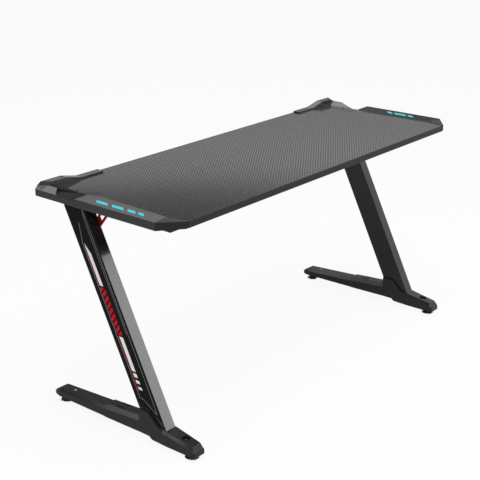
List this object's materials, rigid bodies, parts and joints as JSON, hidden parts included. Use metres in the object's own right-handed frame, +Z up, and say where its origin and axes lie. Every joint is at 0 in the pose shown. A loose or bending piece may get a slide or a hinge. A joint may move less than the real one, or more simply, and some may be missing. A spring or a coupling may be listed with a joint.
{
  "type": "gaming desk",
  "caption": "Gaming desk with a carbon-look top, chamfered front corners, moulded side trims with light windows, slanted Z-shaped steel legs and levelling feet.",
  "frame": {"origin": "on the floor, at the centre of the box around the desk", "axes": "+X to the right of a person sitting at the desk, +Y to the back, +Z up"},
  "size_m": [1.53, 0.615, 0.764],
  "materials": {
    "carbon_laminate": "satin laminate with a woven carbon print",
    "particle_board": "raw particle board",
    "edge_strip": "fine satin",
    "light_lens": "lit translucent plastic",
    "light_strip": "white solder mask with diodes",
    "side_moulding": "fine spark texture",
    "leg_panel": "printed panel",
    "red_steel": "red powder coat",
    "black_steel": "black powder coat",
    "foot_moulding": "fine spark texture",
    "leveller_pad": "moulded, with a bright rim",
    "zinc_steel": "zinc plated",
    "lead_sheath": "soft black",
    "circuit_board": "green solder mask",
    "controller_plastic": "fine texture"
  },
  "bodies": {
    "desk": {"controller_case": "controller_plastic", "controller_circuit": "circuit_board", "controller_lid": "controller_plastic", "desktop_board": "particle_board", "desktop_surface": "carbon_laminate", "front_crossbar": "black_steel", "front_edge_strip": "edge_strip", "lead_clips": "lead_sheath", "left_beam_end_caps": "foot_moulding", "left_board_screws": "zinc_steel", "left_brace": "red_steel", "left_crossbar_bolts": "zinc_steel", "left_foot_bar": "black_steel", "left_foot_cover": "foot_moulding", "left_foot_screws": "zinc_steel", "left_front_leveller_nut": "zinc_steel", "left_leg_column": "black_steel", "left_leg_panel": "leg_panel", "left_light_bar": "side_moulding", "left_light_lead": "lead_sheath", "left_light_lenses": "light_lens", "left_light_strip": "light_strip", "left_rear_corner": "side_moulding", "left_rear_leveller_nut": "zinc_steel", "left_top_beam": "black_steel", "power_inlet": "controller_plastic", "rear_crossbar": "black_steel", "rear_edge_strip": "edge_strip", "right_beam_end_caps": "foot_moulding", "right_board_screws": "zinc_steel", "right_brace": "red_steel", "right_crossbar_bolts": "zinc_steel", "right_foot_bar": "black_steel", "right_foot_cover": "foot_moulding", "right_foot_screws": "zinc_steel", "right_front_leveller_nut": "zinc_steel", "right_leg_column": "black_steel", "right_leg_panel": "leg_panel", "right_light_bar": "side_moulding", "right_light_lead": "lead_sheath", "right_light_lenses": "light_lens", "right_light_strip": "light_strip", "right_rear_corner": "side_moulding", "right_rear_leveller_nut": "zinc_steel", "right_top_beam": "black_steel", "trim_screws": "zinc_steel"},
    "left_front_leveller": {"left_front_leveller_stud": "zinc_steel", "left_front_leveller_pad": "leveller_pad"},
    "left_rear_leveller": {"left_rear_leveller_stud": "zinc_steel", "left_rear_leveller_pad": "leveller_pad"},
    "right_front_leveller": {"right_front_leveller_stud": "zinc_steel", "right_front_leveller_pad": "leveller_pad"},
    "right_rear_leveller": {"right_rear_leveller_stud": "zinc_steel", "right_rear_leveller_pad": "leveller_pad"},
    "button": {"controller_button": "controller_plastic"}
  },
  "joints": [
    {"name": "left_front_leveller_height", "type": "slide", "parent": "desk", "child": "left_front_leveller", "axis": [0, 0, 1], "range_m": [-0.008, 0.005]},
    {"name": "left_rear_leveller_height", "type": "slide", "parent": "desk", "child": "left_rear_leveller", "axis": [0, 0, 1], "range_m": [-0.008, 0.005]},
    {"name": "right_front_leveller_height", "type": "slide", "parent": "desk", "child": "right_front_leveller", "axis": [0, 0, 1], "range_m": [-0.008, 0.005]},
    {"name": "right_rear_leveller_height", "type": "slide", "parent": "desk", "child": "right_rear_leveller", "axis": [0, 0, 1], "range_m": [-0.008, 0.005]},
    {"name": "button_press", "type": "slide", "parent": "desk", "child": "button", "axis": [0, 1, 0], "range_m": [0, 0.0012], "stiffness_N_per_m": 1500, "springref_m": -0.0003}
  ]
}
